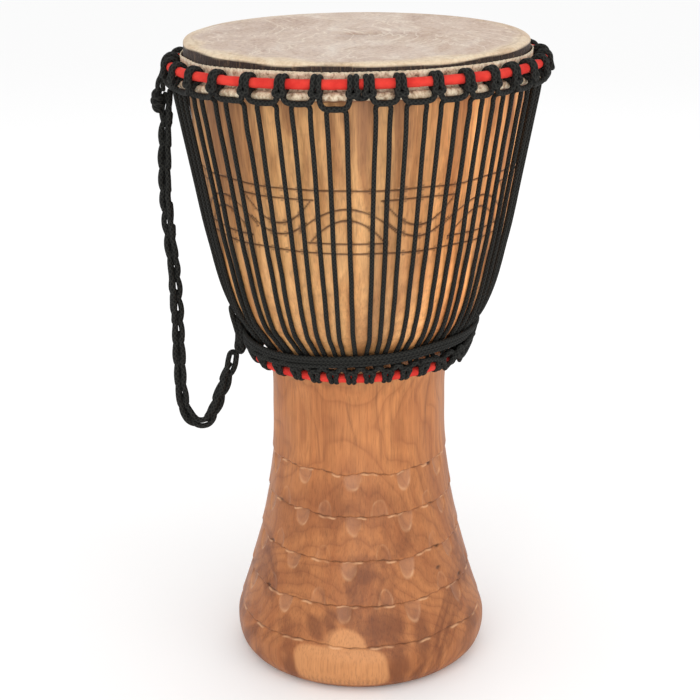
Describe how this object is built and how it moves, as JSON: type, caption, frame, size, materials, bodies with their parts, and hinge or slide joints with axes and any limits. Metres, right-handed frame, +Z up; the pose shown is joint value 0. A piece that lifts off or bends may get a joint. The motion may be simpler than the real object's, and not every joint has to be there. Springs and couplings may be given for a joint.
{
  "type": "djembe",
  "caption": "Goblet-shaped carved wooden hand drum with a rope-tensioned skin head on cloth-wrapped rings, a rope-wound waist and a chain-knotted carrying strap.",
  "frame": {"origin": "middle of the foot's resting face", "axes": "+Z up along the drum's axis to the playing face, -Y towards the front, +X to the front viewer's right, the carrying strap on the -X side"},
  "size_m": [0.3607, 0.3519, 0.6],
  "materials": {
    "wood": "oiled, hand carved",
    "skin": "dry rawhide",
    "steel": "bare rod",
    "red_cloth": "plain cotton strip",
    "rope": "matte braid"
  },
  "bodies": {
    "drum": {"shell": "wood", "drumhead_skin": "skin", "flesh_ring": "steel", "crown_ring_rod": "steel", "crown_ring_cloth": "red_cloth", "base_ring_rod": "steel", "base_ring_cloth": "red_cloth", "crown_loop_cord": "rope", "base_loop_cord": "rope", "tuning_rope": "rope", "waist_wraps": "rope", "strap_top_tie": "rope", "strap_bottom_knot": "rope", "rope_end_knot": "rope"},
    "strap": {"carry_strap": "rope", "strap_top_knot": "rope"}
  },
  "joints": [
    {"name": "strap_swing", "type": "hinge", "parent": "drum", "child": "strap", "pos_m": [-0.1755, 0, 0.556], "axis": [-0.2426, 0, 0.9701], "range_deg": [-40, 40]}
  ]
}
